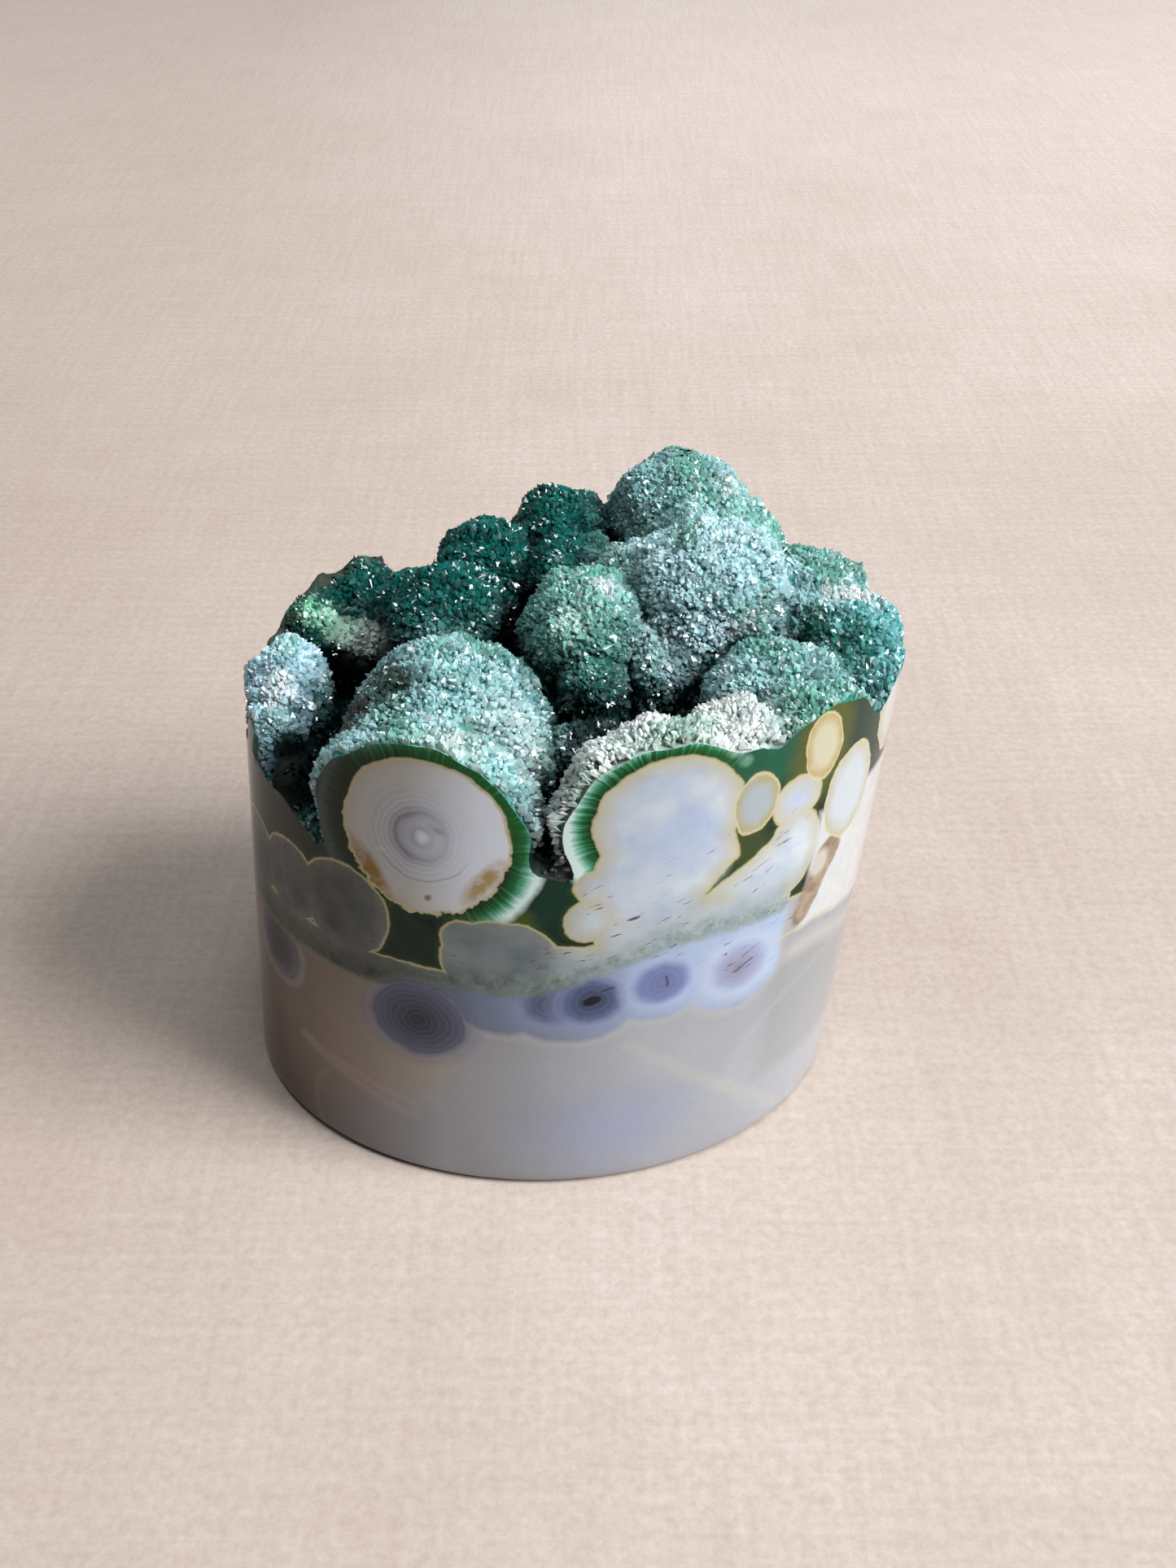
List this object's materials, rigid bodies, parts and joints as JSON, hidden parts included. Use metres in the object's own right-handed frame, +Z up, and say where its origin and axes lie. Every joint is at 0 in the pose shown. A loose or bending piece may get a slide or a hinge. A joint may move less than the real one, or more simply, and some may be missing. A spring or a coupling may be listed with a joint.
{
  "type": "ocean jasper druzy freeform",
  "caption": "Upright oval block of polished banded jasper, its top left natural as a cluster of round lumps under a green quartz crystal crust; stands on its flat base.",
  "frame": {"origin": "on the flat base, at the middle of the part's box", "axes": "+Z up; +X along the longer side of the oval, the way the block leans; -Y towards the side with the big ringed orb"},
  "size_m": [0.0721, 0.0546, 0.0656],
  "materials": {
    "jasper": "polished banded stone, glossy",
    "crystal": "clear green quartz points, sparkling"
  },
  "bodies": {
    "root": {"polished_jasper": "jasper", "druzy_crust": "crystal"}
  },
  "joints": []
}
